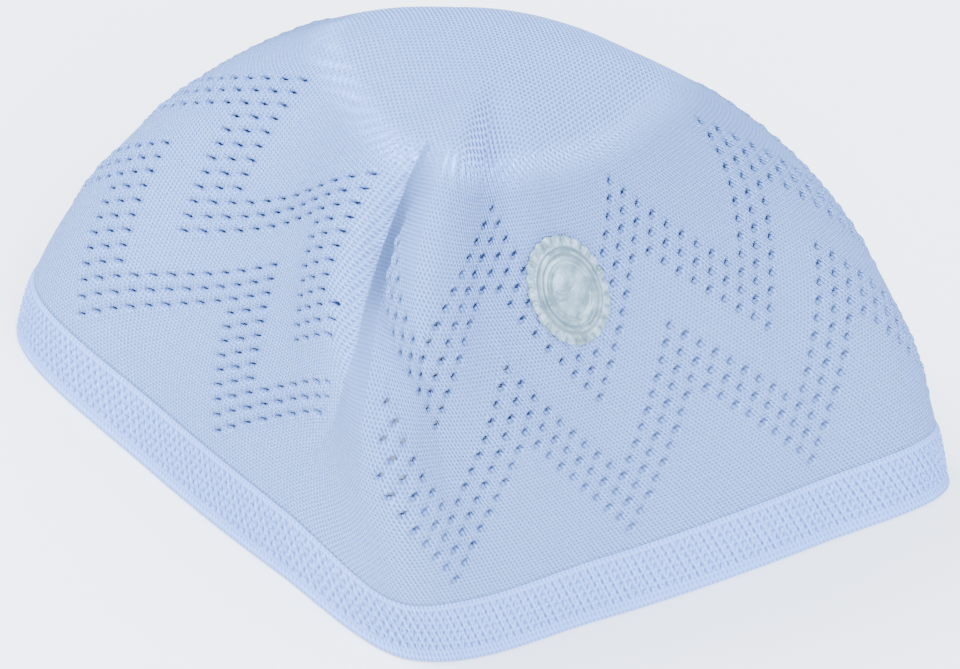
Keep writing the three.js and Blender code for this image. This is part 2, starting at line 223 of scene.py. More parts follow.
# %% Numbers of the knit
STEPS_PER_REPEAT, REPEATS, PLAIN_STEPS = 18, 11, 9
ROWS_TO_APEX, BAND_ROWS, CORNER_STEP, BACK_STRETCH = 40.0, 3.25, -4.3, 0.035
TOTAL_STEPS = STEPS_PER_REPEAT * REPEATS + PLAIN_STEPS
PLAIN_RIGHT = -STEPS_PER_REPEAT / 2
EDGE = PLAIN_RIGHT - CORNER_STEP
LEFT_HOLD, LEFT_RATE, LEFT_POWER = -60.0, 2.0, 1.7
TAKEN_UP, GATHER_FOOT, GATHER_TOP, GATHERED_WIDTH, CALM = 0.45, 0.05, 0.42, 1.0, 1.6
LEAST_PACE = 1.1
# Steps from the corner on the right panel, and how far the knit there slides to the right
SLIDE_AT, SLIDE = np.array([4.3, 13.3, 22.3, 31.3]), np.array([2.6, 2.6, 0.8, 0.0])
print("half steps round the cap:", TOTAL_STEPS, "rows to the apex:", ROWS_TO_APEX)


# %% Where each wale runs
def crease_step(up):
    """Steps from the ridge line to the bottom of the crease: its distance over the pace there.

    The pace is held to a least one, so that the wales don't fold back on themselves at the apex."""
    along = plain_skin(0 * up + PROBE, up) - plain_skin(0 * up - PROBE, up)
    pace = np.linalg.norm(along, axis=-1) / (2 * PROBE) / TOTAL_STEPS
    return PLEAT["aside"] / np.maximum(pace, LEAST_PACE)


def place_of_step(step, up):
    """Steps from the corner where a half step lies at a height, and how far it is drawn together.

    Left of the crease distances from a wale that holds still grow by a power of the height, right of
    it a small slide dies away, and between them the hidden fabric is squeezed into a narrow strip.
    The room is the strip's share of its own width, and one elsewhere."""
    step = np.where(step > TOTAL_STEPS / 2, step - TOTAL_STEPS, step) - CORNER_STEP
    rate = 1 + LEFT_RATE * np.clip(up, 0, 1) ** LEFT_POWER
    taken = fade(up, 0, TAKEN_UP)
    edge_right = EDGE + taken * (crease_step(up) + GATHERED_WIDTH / 2 - EDGE)
    width = PLAIN_STEPS - (PLAIN_STEPS - GATHERED_WIDTH) * fade(up, GATHER_FOOT, GATHER_TOP)
    edge_left = edge_right - width
    step_left = LEFT_HOLD + (edge_left - LEFT_HOLD) / rate
    left = LEFT_HOLD + (step - LEFT_HOLD) * rate
    middle = edge_left + (step - step_left) / (EDGE - step_left) * width
    near = np.clip((SLIDE_AT[0] - step) / (SLIDE_AT[0] - EDGE), 0, 1)
    slide = taken * np.interp(step, SLIDE_AT, SLIDE) * (1 - near) + near * (edge_right - EDGE)
    parts = [step < LEFT_HOLD, step < step_left, step < EDGE]
    squeezed = (step > step_left - CALM) & (step < EDGE + CALM * (width < PLAIN_STEPS - CALM))
    room = np.where(squeezed, width / (EDGE - step_left), 1.0)
    return np.select(parts, [step, left, middle], step + slide), room


def share_of_step(step, up):
    """Share of the way round of a half step, a little wider apart at the back than at the front."""
    step, up = np.broadcast_arrays(np.asarray(step, float), np.asarray(up, float))
    even = place_of_step(step, up)[0] / TOTAL_STEPS
    return even - BACK_STRETCH * np.sin(2 * np.pi * even) / (2 * np.pi)


print("crease at mid height:", crease_step(np.array(0.5)).round(1), "steps from the ridge line")


# %% Heights of the rows, and the plan set on the frame
def up_of_row(share, row):
    """Share of the section's length at a row, with a band of equal height all round."""
    band = (BAND_HEIGHT + SEAM_GAP) / section_length(share)
    return band + (1 - band) * (row - BAND_ROWS) / (ROWS_TO_APEX - BAND_ROWS)


def plan_shift():
    """From the plan's own origin to the frame's, by setting the rim on the rim band's box."""
    share = np.linspace(0, 1, 2001)
    out = unit(np.cross(outer_skin(share + PROBE, 0) - outer_skin(share - PROBE, 0), [0, 0, 1.0]))
    edge = outer_skin(share, 0.0) + out * (BAND_PROUD + (HEM_WIDTH - BAND_WALL) / 2)
    low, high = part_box("rim_band")
    middle = (np.array(low) + np.array(high)) / 2
    shift = middle / MM - (edge.min(0) + edge.max(0)) / 2
    return np.array([shift[0], shift[1], 0.0])


SHIFT = plan_shift()
print("shift of the plan:", SHIFT.round(2), "mm")

# %% [markdown]
# ## From arrays to a mesh
# Each piece could be drawn with Blender's own tools, but a grid worked out with numpy goes straight
# into a mesh. A float for each point goes in too: how deep it lies, which the finishes turn into painted
# shade.


# %% A mesh from arrays
def vertex_normals(points, faces):
    """Sum of the normals of the quads round each point, weighted by their area, as unit vectors."""
    across = np.cross(points[faces[:, 2]] - points[faces[:, 0]], points[faces[:, 3]] - points[faces[:, 1]])
    total = np.zeros(points.shape)
    for k in range(4):
        np.add.at(total, faces[:, k], across)
    return unit(total)


def make_piece(name, points, faces, uv, material, node, normals=None, sunk_and_painted_shade=None):
    """One closed mesh from quads, or triangles that name a corner twice, with a UV for each corner.

    The points are shifted from the plan to the frame and multiplied by a thousandth."""
    used, faces = np.unique(faces, return_inverse=True)
    faces = faces.reshape(-1, 4)
    slim = faces[:, 2] == faces[:, 3]
    keep = np.ones(faces.shape, bool)
    keep[slim, 3] = False
    sizes = keep.sum(1).astype(np.int32)
    loops = faces[keep].astype(np.int32)
    mesh = bpy.data.meshes.new(name)
    mesh.vertices.add(len(used))
    mesh.vertices.foreach_set("co", ((points[used] + SHIFT) * MM).astype(np.float32).ravel())
    mesh.loops.add(len(loops))
    mesh.loops.foreach_set("vertex_index", loops)
    mesh.polygons.add(len(sizes))
    starts = np.concatenate([[0], np.cumsum(sizes)[:-1]]).astype(np.int32)
    mesh.polygons.foreach_set("loop_start", starts)
    mesh.polygons.foreach_set("loop_total", sizes)
    mesh.polygons.foreach_set("use_smooth", np.ones(len(sizes), bool))
    layer = mesh.uv_layers.new(name="knit")
    layer.data.foreach_set("uv", uv[keep].astype(np.float32).ravel())
    # Painted shade: how deep each point lies, which darkens its colour in the finishes
    if sunk_and_painted_shade is not None:
        depth = mesh.attributes.new("sunk_and_painted_shade", "FLOAT", "POINT")
        depth.data.foreach_set("value", sunk_and_painted_shade[used].astype(np.float32))
    mesh.update()
    mesh.validate()
    if normals is not None:
        mesh.normals_split_custom_set_from_vertices(normals[used].astype(np.float32))
    piece = bpy.data.objects.new(name, mesh)
    bpy.context.scene.collection.objects.link(piece)
    mesh.materials.append(material)
    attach(piece, "root")
    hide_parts(node)
    print(name, len(used), "points", int((sizes - 2).sum()), "triangles")
    return piece


# %% [markdown]
# ## Finishes
# Cotton yarn is matt and slightly fuzzy, so it gets a high roughness and a little sheen. The jersey's
# stitches are finer than the mesh, so the knit's own coordinates draw them as bump and as painted shade
# in the gaps between the loops: each stitch leg leans half a stitch for each course, which gives the
# fine diagonal dashes. A picture of knitting would do this too, but a formula stays sharp at any
# distance and has no seam.

# %% Colours and nodes
def colour(hex_code):
    """An sRGB hex colour as linear light: the standard's power curve on each channel."""
    channels = [int(hex_code[k:k + 2], 16) / 255 for k in (1, 3, 5)]
    linear = [c / 12.92 if c <= 0.04045 else ((c + 0.055) / 1.055) ** 2.4 for c in channels]
    return (*linear, 1.0)


def add_node(tree, kind, settings=None, **links):
    """Adds a node; settings are its properties, links its inputs, as values or other sockets."""
    node = tree.nodes.new(kind)
    for key, value in (settings or {}).items():
        setattr(node, key, value)
    for key, value in links.items():
        socket = node.inputs[int(key[1:])] if key[0] == "i" and key[1:].isdigit() else node.inputs[key]
        if isinstance(value, bpy.types.NodeSocket):
            tree.links.new(value, socket)
        else:
            socket.default_value = value
    return node


def new_material(name):
    """An empty node material with its Principled shader, ready for links."""
    material = bpy.data.materials.new(name)
    material.use_nodes = True
    tree = material.node_tree
    return material, tree, tree.nodes["Principled BSDF"]


print("white cotton as linear light:", [round(c, 3) for c in colour("#9cc0ff")[:3]])

# %% Cotton yarn
# A half step of 2.7 mm holds two and a half stitches, and a row of 4 mm four courses
STITCHES_PER_STEP, COURSES_PER_ROW = 2.5, 4.0
# Stitch and course near the apex in mm, and the rows between which they take over
TOP_STITCH, TOP_COURSE, TOP_FROM, TOP_TO = 1.15, 1.0, 28.5, 31.5
BEAD_SHARE, FUZZ_SHARE, UNEVEN_SHARE = 0.6, 0.9, 0.25
# Yarn fuzz is about 0.5 mm across, and the soft unevenness of the fabric about 25 mm
FUZZ_SCALE, UNEVEN_SCALE = 2000.0, 40.0


def cotton(name, lit, shade, pit_painted_shade, leg_height, slant, gap_low, gap_high):
    """Matt cotton yarn. Its stitch is the sine of stitches plus slanted courses, plus part of the
    sine of courses. That is the bump, and from gap_high down to gap_low it darkens from lit to shade:
    painted shade in the gaps between the loops. Where the piece lies deep, painted shade darkens it
    on towards the pit colour."""
    material, tree, shader = new_material(name)
    maths = "ShaderNodeMath"
    times, plus, sine = {"operation": "MULTIPLY"}, {"operation": "MULTIPLY_ADD"}, {"operation": "SINE"}
    knit = add_node(tree, "ShaderNodeUVMap", {"uv_map": "knit"})
    split = add_node(tree, "ShaderNodeSeparateXYZ", Vector=knit.outputs[0])
    course = add_node(tree, maths, times, i0=split.outputs[1], i1=COURSES_PER_ROW * 2 * math.pi)
    stitch = add_node(tree, maths, times, i0=split.outputs[0], i1=STITCHES_PER_STEP * 2 * math.pi)
    slanted = add_node(tree, maths, plus, i0=course.outputs[0], i1=slant, i2=stitch.outputs[0])
    legs = add_node(tree, maths, sine, i0=slanted.outputs[0])
    beads = add_node(tree, maths, sine, i0=course.outputs[0])
    ring = add_node(tree, maths, plus, i0=beads.outputs[0], i1=BEAD_SHARE, i2=legs.outputs[0])
    place = add_node(tree, "ShaderNodeTexCoord")
    # Near the apex the wales crowd together, so there the same stitch is laid on the plan instead
    plan = add_node(tree, "ShaderNodeSeparateXYZ", Vector=place.outputs["Object"])
    top_course = add_node(tree, maths, times, i0=plan.outputs[1], i1=2 * math.pi / (TOP_COURSE * MM))
    top_stitch = add_node(tree, maths, times, i0=plan.outputs[0], i1=2 * math.pi / (TOP_STITCH * MM))
    top_slant = add_node(tree, maths, plus, i0=top_course.outputs[0], i1=slant, i2=top_stitch.outputs[0])
    top_legs = add_node(tree, maths, sine, i0=top_slant.outputs[0])
    top_beads = add_node(tree, maths, sine, i0=top_course.outputs[0])
    top = add_node(tree, maths, plus, i0=top_beads.outputs[0], i1=BEAD_SHARE, i2=top_legs.outputs[0])
    near_top = add_node(tree, "ShaderNodeMapRange", i0=split.outputs[1], i1=TOP_FROM, i2=TOP_TO)
    both = add_node(tree, "ShaderNodeMix", i0=near_top.outputs[0], i2=ring.outputs[0], i3=top.outputs[0])
    spot = place.outputs["Object"]
    fuzz = add_node(tree, "ShaderNodeTexNoise", Vector=spot, Scale=FUZZ_SCALE, Detail=2.0)
    uneven = add_node(tree, "ShaderNodeTexNoise", Vector=spot, Scale=UNEVEN_SCALE, Detail=2.0)
    height = add_node(tree, maths, plus, i0=fuzz.outputs["Fac"], i1=FUZZ_SHARE, i2=both.outputs[0])
    bump = add_node(tree, "ShaderNodeBump", Distance=leg_height * MM, Height=height.outputs[0])
    # Painted shade: between the loops the colour darkens from the lit colour to the shade colour
    gap_shade = add_node(tree, "ShaderNodeMapRange", i0=both.outputs[0], i1=gap_low, i2=gap_high)
    tone = add_node(tree, maths, plus, i0=uneven.outputs["Fac"], i1=UNEVEN_SHARE, i2=gap_shade.outputs[0])
    yarn = add_node(tree, "ShaderNodeMix", {"data_type": "RGBA"}, i0=tone.outputs[0],
                    i6=colour(shade), i7=colour(lit))
    # Painted shade: where the piece lies deep, the colour darkens towards the pit colour
    sunk_and_painted_shade = add_node(tree, "ShaderNodeAttribute", {"attribute_name": "sunk_and_painted_shade"})
    cloth = add_node(tree, "ShaderNodeMix", {"data_type": "RGBA"}, i0=sunk_and_painted_shade.outputs["Fac"],
                     i6=yarn.outputs[2], i7=colour(pit_painted_shade))
    tree.links.new(cloth.outputs[2], shader.inputs["Base Color"])
    tree.links.new(bump.outputs[0], shader.inputs["Normal"])
    shader.inputs["Roughness"].default_value = 0.9
    shader.inputs["Sheen Weight"].default_value = 0.08
    shader.inputs["Sheen Roughness"].default_value = 0.6
    shader.inputs["Specular IOR Level"].default_value = 0.2
    return material


# Matt and faintly furry: no highlight, and a soft glow where the cloth turns away
# Its shade colour is painted shade between the loops, and its pit colour is painted shade in the eyelet
# slits
JERSEY = cotton("white_cotton_jersey_machine_knitted", "#9cc0ff", "#5674b8", "#476098",
                leg_height=0.7, slant=0.5, gap_low=-1.5, gap_high=-0.2)
# The same yarn, where the bumps of the moss stitch hide the fine legs
# Here the shade and pit colours are painted shade between the loops and in the troughs between the bumps
MOSS = cotton("white_cotton_moss_stitch_machine_knitted", "#90b0f2", "#6c8ad0", "#4d68a8",
              leg_height=0.25, slant=0.5, gap_low=-1.5, gap_high=0.3)
print("cotton:", JERSEY.name, MOSS.name)

# %% [markdown]
# ## Crown
# The crown is a wall of jersey knit with real holes. They could be cut with a boolean, but over a
# thousand cuts are slow and leave ragged edges, so they are left out of the grid instead. The points
# are laid out on the lattice, denser on the front panels than at the back. The cells of the eyelets
# are left out of both faces of the wall and joined through it. Round them a checkerboard wave sinks
# the holes and puffs up the yarn between, and each hole is drawn into a slanted slit. The ring is cut
# into three pieces along the crease and behind the corners, which keeps each mesh small.

# %% Where the eyelets are
LOWER_TIP, ZIGZAG_RISE, ZIGZAG_LINES, FIRST_STEP, LAST_STEP = 5, 10, 5, -9, 189
BADGE_STEP, BADGE_ROW, BADGE_STEPS, BADGE_ROWS = 18.0, 22.3, 4.5, 4.2


def counted(step):
    """The half step as it is counted in the pattern, on from the plain strip under the ridge."""
    return np.where(step < FIRST_STEP, step + TOTAL_STEPS, step)


def line_of(step, row, zigzag):
    """How many rows a point lies above the lower edge of a zigzag: the edge climbs to each peak."""
    climb = np.abs(np.mod(step - FIRST_STEP, STEPS_PER_REPEAT) - STEPS_PER_REPEAT / 2)
    return row - LOWER_TIP - zigzag * ZIGZAG_RISE - climb


def is_eyelet(step, row):
    """True on lattice nodes whose step plus row is odd, inside a zigzag and clear of the badge."""
    step = counted(step)
    lines = [line_of(step, row, zigzag) for zigzag in (0, 1)]
    inside = np.any([(line > -0.5) & (line < ZIGZAG_LINES - 0.5) for line in lines], axis=0)
    badge = ((step - BADGE_STEP) / BADGE_STEPS) ** 2 + ((row - BADGE_ROW) / BADGE_ROWS) ** 2 < 1
    knitted = (step >= FIRST_STEP) & (step <= LAST_STEP)
    return inside & knitted & ~badge & (np.mod(step + row, 2) == 1)


print("eyelets in the lattice:", int(is_eyelet(*np.meshgrid(np.arange(-9, 190), np.arange(40))).sum()))


# %% Columns and rows of points
FINE, COARSE, CELLS_PER_ROW, LACE_TOP = 4, 2, 4, 29.75
FRONT_LEFT, FRONT_RIGHT = -62.0, 60.0
TOP_RINGS, TIP_GAP = 17, 0.15


def crown_columns():
    """Steps of the columns: a quarter apart over the front panels, and half apart at the back."""
    front = np.arange(FRONT_LEFT, FRONT_RIGHT + 0.1, 1 / FINE)
    back = np.arange(FRONT_RIGHT + 0.75, TOTAL_STEPS + FRONT_LEFT - 0.1, 1 / COARSE)
    return np.concatenate([front, back])


def crown_rows():
    """Rows of the lattice in quarters up to the top of the lace, then longer ones to the apex."""
    lace = np.arange(BAND_ROWS, LACE_TOP + 0.01, 1 / CELLS_PER_ROW)
    top = LACE_TOP + (ROWS_TO_APEX - TIP_GAP - LACE_TOP) * np.linspace(0, 1, TOP_RINGS)[1:]
    return np.concatenate([lace, top])


print("crown grid:", len(crown_columns()), "columns by", len(crown_rows()), "rows")

# %% Relief of the lace
# Depth of a hole in mm, the least room that one needs, and how its slit is turned
EYELET_DIP, EYELET_ROOM, EYELET_TURN = 0.65, 0.5, math.radians(27)
STEP_WIDTH, ROW_HEIGHT, SLIT_NARROWING, SLIT_LENGTH, SLIT_WIDTH = 2.7, 4.0, 0.4, 1.4, 0.8
LACE_PUFF, SLIT_DEPTH, INNER_RELIEF = 0.35, 0.6, 0.4


def lace_wave(step, row):
    """How far a point is inside a zigzag, and the checkerboard wave that is lowest in the holes."""
    step = counted(step)
    mask = np.zeros(step.shape)
    for zigzag in (0, 1):
        line = line_of(step, row, zigzag)
        mask = np.maximum(mask, fade(line, -1.2, -0.3) * (1 - fade(line, 4.3, 5.2)))
    mask = mask * (1 - fade(step, LAST_STEP + 0.3, LAST_STEP + 1))
    return mask, np.cos(np.pi * step) * np.cos(np.pi * row)


def slit_of(step, row, pierced):
    """Steps and rows with the points round each eyelet drawn into a slanted slit, and how deep they lie.

    The offset from the node is turned to the slit's own axes. The cross axis shrinks near the node,
    and the depth is a bell of both axes, long and wide as the slit. The finish turns the same depth into
    painted shade."""
    node_step, node_row = np.round(step), np.round(row)
    across, climb = (step - node_step) * STEP_WIDTH, (row - node_row) * ROW_HEIGHT
    eyelet = is_eyelet(node_step, node_row) & pierced
    near = np.maximum(np.abs(step - node_step), np.abs(row - node_row))
    weight = np.clip((0.5 - near) / 0.25, 0, 1) * eyelet * (1 - SLIT_NARROWING)
    c, s = math.cos(EYELET_TURN), math.sin(EYELET_TURN)
    along, aside = across * c + climb * s, climb * c - across * s
    moved = aside * (1 - weight)
    sunk_and_painted_shade = bell(along, SLIT_LENGTH) * bell(aside, SLIT_WIDTH) * eyelet
    return (node_step + (along * c - moved * s) / STEP_WIDTH,
            node_row + (along * s + moved * c) / ROW_HEIGHT, sunk_and_painted_shade)


def crown_skin(step, row):
    """Points of the crown's outer face at steps and rows, before its lace is raised."""
    climb = (row - BAND_ROWS) / (ROWS_TO_APEX - BAND_ROWS)
    share = share_of_step(step, climb)
    return outer_skin(share, up_of_row(share, row))


print("slit of an eyelet:", SLIT_LENGTH, "by", SLIT_WIDTH, "mm, each side of its middle")


# %% Points of the wall
def climb_of(row):
    """Share of the crown's height at a row."""
    return (row - BAND_ROWS) / (ROWS_TO_APEX - BAND_ROWS)


def crown_wall(step, row, room):
    """Outer points, the skin plus the lace's relief, inner ones a wall's thickness in, and depth, which
    also sets the painted shade.
    """
    mask, wave = lace_wave(step, row)
    drawn_step, drawn_row, sunk_and_painted_shade = slit_of(step, row, room > EYELET_ROOM)
    skin = crown_skin(drawn_step, drawn_row)
    out = unit(np.cross(np.roll(skin, -1, 1) - np.roll(skin, 1, 1), np.gradient(skin, axis=0)))
    relief = EYELET_DIP * (mask * (room > EYELET_ROOM) * (wave + LACE_PUFF) - SLIT_DEPTH * sunk_and_painted_shade)
    outer = skin + out * relief[..., None]
    return outer, skin - out * (CROWN_WALL - INNER_RELIEF * relief)[..., None], sunk_and_painted_shade


column = crown_columns()
step, row = np.meshgrid(column, crown_rows())
room = place_of_step(step, climb_of(row))[1]
outer, inner, sunk_and_painted_shade = crown_wall(step, row, room)
tops = np.array([outer[-1].mean(0), inner[-1].mean(0)])
crown_points = np.concatenate([outer.reshape(-1, 3), inner.reshape(-1, 3), tops])
# Painted shade: the depth of the slits, kept for both faces of the wall
crown_sunk_and_painted_shade = np.concatenate([sunk_and_painted_shade.ravel(), sunk_and_painted_shade.ravel(), [0, 0]])
print("crown points:", len(crown_points), "highest", round(float(crown_points[:, 2].max()), 1), "mm")

# %% Cells of the wall and their holes
NEAR_NODE = 0.2
count = step.size
number = np.arange(count).reshape(step.shape)
beside = np.roll(number, -1, 1)
cell = np.stack([number[:-1], beside[:-1], beside[1:], number[1:]], -1)
here = np.stack([step, row], -1)
width = np.diff(np.append(column, TOTAL_STEPS + column[0]))
there = here + np.stack([np.broadcast_to(width, step.shape), 0 * row], -1)
cell_uv = np.stack([here[:-1], there[:-1], there[1:], here[1:]], -2)
middle = cell_uv.mean(-2)
node = np.round(middle)
hole = (np.abs(middle - node) < NEAR_NODE).all(-1) & is_eyelet(node[..., 0], node[..., 1])
hole = hole & (room[:-1] > EYELET_ROOM)
panel = np.digitize(np.broadcast_to(column + 0.01, cell.shape[:2]), [PLAIN_RIGHT, FRONT_RIGHT + 0.1])
print("cells:", cell.shape[0] * cell.shape[1], "of which open", int(hole.sum()))


# %% Faces of the wall
def hole_walls():
    """Quads through the wall where one of two neighbouring cells is open, turned to face the hole."""
    found = []
    for axis, (a, b) in ((1, (1, 2)), (0, (2, 3))):
        open_next = np.roll(hole, -1, axis)
        for edge, turn in ((hole & ~open_next, 1), (~hole & open_next, -1)):
            low, high = cell[edge][:, a], cell[edge][:, b]
            quads = np.stack([low, high, high + count, low + count], -1)
            found.append((quads[:, ::turn], cell_uv[edge][:, [a, b, b, a]][:, ::turn], panel[edge]))
    return found


def rim_and_tip():
    """The lower edge between both faces, and a fan of triangles from the last ring to each tip."""
    low, low_uv, last, last_uv = cell[0], cell_uv[0], cell[-1], cell_uv[-1]
    edge = np.stack([low[:, 0] + count, low[:, 1] + count, low[:, 1], low[:, 0]], -1)
    over, under = np.full(len(last), 2 * count), np.full(len(last), 2 * count + 1)
    return [(edge, low_uv[:, [0, 1, 1, 0]], panel[0]),
            (np.stack([last[:, 3], last[:, 2], over, over], -1), last_uv[:, [3, 2, 2, 2]], panel[0]),
            (np.stack([last[:, 2] + count, last[:, 3] + count, under, under], -1),
             last_uv[:, [2, 3, 3, 3]], panel[0])]


shown = ~hole
faces_found = [(cell[shown], cell_uv[shown], panel[shown]),
               (cell[shown][:, ::-1] + count, cell_uv[shown][:, ::-1], panel[shown])]
faces_found += hole_walls() + rim_and_tip()
crown_faces, crown_uv, crown_panel = (np.concatenate(kind) for kind in zip(*faces_found))
crown_normals = vertex_normals(crown_points, crown_faces)
print("crown faces:", len(crown_faces))


# %% Three pieces of the crown
def cut_edge(c, turn):
    """The strip that closes the wall along a column, from the rim to both tips."""
    low, high = number[:-1, c], number[1:, c]
    strip = np.stack([low, high, high + count, low + count], -1)
    tip = [[number[-1, c], 2 * count, 2 * count + 1, number[-1, c] + count]]
    return np.concatenate([strip, tip])[:, ::turn]


def make_panel(k, name):
    """The faces of one panel and its two cut edges, with the whole crown's normals."""
    columns = panel[0] == k
    first = int(np.argmax(columns))
    last = int((first + columns.sum()) % len(columns))
    sides = np.concatenate([cut_edge(first, 1), cut_edge(last, -1)])
    mine = crown_panel == k
    uv = np.concatenate([crown_uv[mine], np.zeros((len(sides), 4, 2))])
    faces = np.concatenate([crown_faces[mine], sides])
    return make_piece(name, crown_points, faces, uv, JERSEY, "crown", crown_normals, crown_sunk_and_painted_shade)


crown = [make_panel(k, name) for k, name in
         enumerate(("crown_left_panel", "crown_right_panel", "crown_back"))]

# %% [markdown]
# ## Rim band
# The band is moss stitch, whose raised purl bumps sit like bricks, and below it the fabric rolls
# under into a smooth hem. The bumps are big enough to catch the light, so they are in the mesh and
# not only in the finish. The cross-section is one closed profile carried round the rim, and its top
# edge is tucked under the crown's lower edge, so that no gap shows between the two knits.

# %% Profile of the band
BUMP_PITCH, BUMP_ROWS, BUMP_HEIGHT, POINTS_PER_BUMP = 2.0, 7, 0.5, 4
TUCK, TUCK_IN, HEM_TOP, HEM_ROUND = 0.7, 0.5, HEM_HEIGHT + 0.6, 0.9


def band_profile():
    """Closed outline as distance out and height, with how much of the bumps each point shows.

    The face runs straight down, the hem is a part circle, and the back is four straight points."""
    hem_out = (HEM_WIDTH - BAND_WALL) / 2
    inner, outer = BAND_PROUD - BAND_WALL, BAND_PROUD
    face = np.linspace(BAND_HEIGHT + TUCK, HEM_TOP, 40)
    show = fade(face, HEM_TOP, HEM_TOP + 1) * (1 - fade(face, BAND_HEIGHT - 3, BAND_HEIGHT))
    tucked = outer - TUCK_IN * fade(face, BAND_HEIGHT - 0.8, BAND_HEIGHT + TUCK)
    turn = np.linspace(0.35 * np.pi, -0.5 * np.pi, 12)
    roll_out = outer + hem_out - HEM_ROUND + HEM_ROUND * np.cos(turn)
    roll_high = HEM_HEIGHT / 2 * (1 + np.sin(turn))
    roll = np.stack([roll_out, roll_high, 0 * turn], -1)
    under = np.array([[inner + 0.2, 0.0, 0.0]])
    back = np.array([[inner - hem_out * 0.7, 0.5 * HEM_HEIGHT, 0], [inner, HEM_TOP, 0],
                     [inner, 0.5 * BAND_HEIGHT, 0], [inner, BAND_HEIGHT + TUCK, 0]])
    return np.concatenate([np.stack([tucked, face, show], -1), roll, under, back])


print("band profile:", len(band_profile()), "points")


# %% Band
def make_band():
    """The profile carried round the rim. The bumps are the cosine round it times that up it, and painted
    shade darkens their troughs.
    """
    rim_length = float(np.linalg.norm(np.diff(rim, axis=0), axis=1).sum())
    columns = round(rim_length / BUMP_PITCH) * POINTS_PER_BUMP
    step = PLAIN_RIGHT + TOTAL_STEPS * np.arange(columns) / columns
    share = share_of_step(step, 0 * step)
    profile = band_profile()
    length = section_length(share)
    points = outer_skin(share[None], profile[:, 1:2] / length[None])
    out = unit(np.cross(np.roll(points, -1, 1) - np.roll(points, 1, 1), [0, 0, 1.0]))
    bump_row = (profile[:, 1:2] - HEM_HEIGHT) / (BAND_HEIGHT - HEM_HEIGHT) * BUMP_ROWS
    wave = np.cos(2 * np.pi * (np.arange(columns) / POINTS_PER_BUMP))[None] * np.cos(np.pi * bump_row)
    relief = BUMP_HEIGHT * profile[:, 2:3] * wave
    # Painted shade in the troughs between the bumps
    sunk_and_painted_shade = profile[:, 2:3] * fade(-wave, 0.2, 1.0)
    points = points + out * (profile[:, 0:1] + relief)[..., None]
    points[..., 2] = np.where(profile[:, 1:2] == 0, 0.0, np.maximum(points[..., 2], 0.0))
    rows = len(profile)
    number = np.arange(rows * columns).reshape(rows, columns)
    beside, below = np.roll(number, -1, 1), np.roll(number, -1, 0)
    quads = np.stack([number, below, np.roll(below, -1, 1), beside], -1).reshape(-1, 4)
    v = BAND_ROWS * profile[:, 1] / BAND_HEIGHT
    width = TOTAL_STEPS / columns
    left = np.stack(np.broadcast_arrays(step[None], v[:, None]), -1)
    low = np.stack(np.broadcast_arrays(step[None], np.roll(v, -1)[:, None]), -1)
    uv = np.stack([left, low, low + [width, 0], left + [width, 0]], -2).reshape(-1, 4, 2)
    return make_piece("moss_stitch_band", points.reshape(-1, 3), quads, uv, MOSS, "rim_band",
                      sunk_and_painted_shade=sunk_and_painted_shade.ravel())


band = make_band()

# %% [markdown]
# ## Badge
# The badge is clear plastic pressed between dies: a thin flange with a notched edge and ribs, two
# raised oval lines and a low dome. A flat disc would stand off the curved panel at its ends, so each
# point of its oval grid looks up the skin below it and stands on it.

# %% Badge sizes and clear plastic
BADGE_LENGTH, BADGE_WIDTH, BADGE_TILT = 28.0, 19.5, math.radians(16)
FLANGE_THICKNESS, BADGE_RISE, SCALLOP_DEPTH, SCALLOPS = 0.9, 1.5, 0.35, 24
UNDER_BADGE = SEAM_GAP + 0.1


def clear_plastic(name, tint, shade, groove_painted_shade):
    """Pressed clear plastic: half see-through, glossy, mottled by the cloth behind it, with painted shade
    in its grooves.
    """
    material, tree, shader = new_material(name)
    place = add_node(tree, "ShaderNodeTexCoord")
    wavy = add_node(tree, "ShaderNodeTexNoise", Vector=place.outputs["Object"], Scale=300.0, Detail=3.0)
    bump = add_node(tree, "ShaderNodeBump", Distance=0.35 * MM, Height=wavy.outputs["Fac"])
    spread = add_node(tree, "ShaderNodeMapRange", i0=wavy.outputs["Fac"], i1=0.38, i2=0.6)
    mix = add_node(tree, "ShaderNodeMix", {"data_type": "RGBA"}, i0=spread.outputs[0],
                   i6=colour(shade), i7=colour(tint))
    # Painted shade in the grooves beside the raised lines and between the ribs
    sunk_and_painted_shade = add_node(tree, "ShaderNodeAttribute", {"attribute_name": "sunk_and_painted_shade"})
    painted_groove_shade_mix = add_node(tree, "ShaderNodeMix", {"data_type": "RGBA"}, i0=sunk_and_painted_shade.outputs["Fac"],
                     i6=mix.outputs[2], i7=colour(groove_painted_shade))
    tree.links.new(painted_groove_shade_mix.outputs[2], shader.inputs["Base Color"])
    tree.links.new(bump.outputs[0], shader.inputs["Normal"])
    shader.inputs["Roughness"].default_value = 0.14
    shader.inputs["IOR"].default_value = 1.49
    shader.inputs["Transmission Weight"].default_value = 0.5
    shader.inputs["Coat Weight"].default_value = 0.3
    shader.inputs["Coat Roughness"].default_value = 0.08
    return material


# Clear PVC takes a gloss from its die and shows the cloth behind it, so it looks pale and mottled
# The last colour is painted shade for the grooves
CLEAR = clear_plastic("clear_pvc_pressed", "#abc0c2", "#768f90", "#536b70")
print("badge finish:", CLEAR.name)



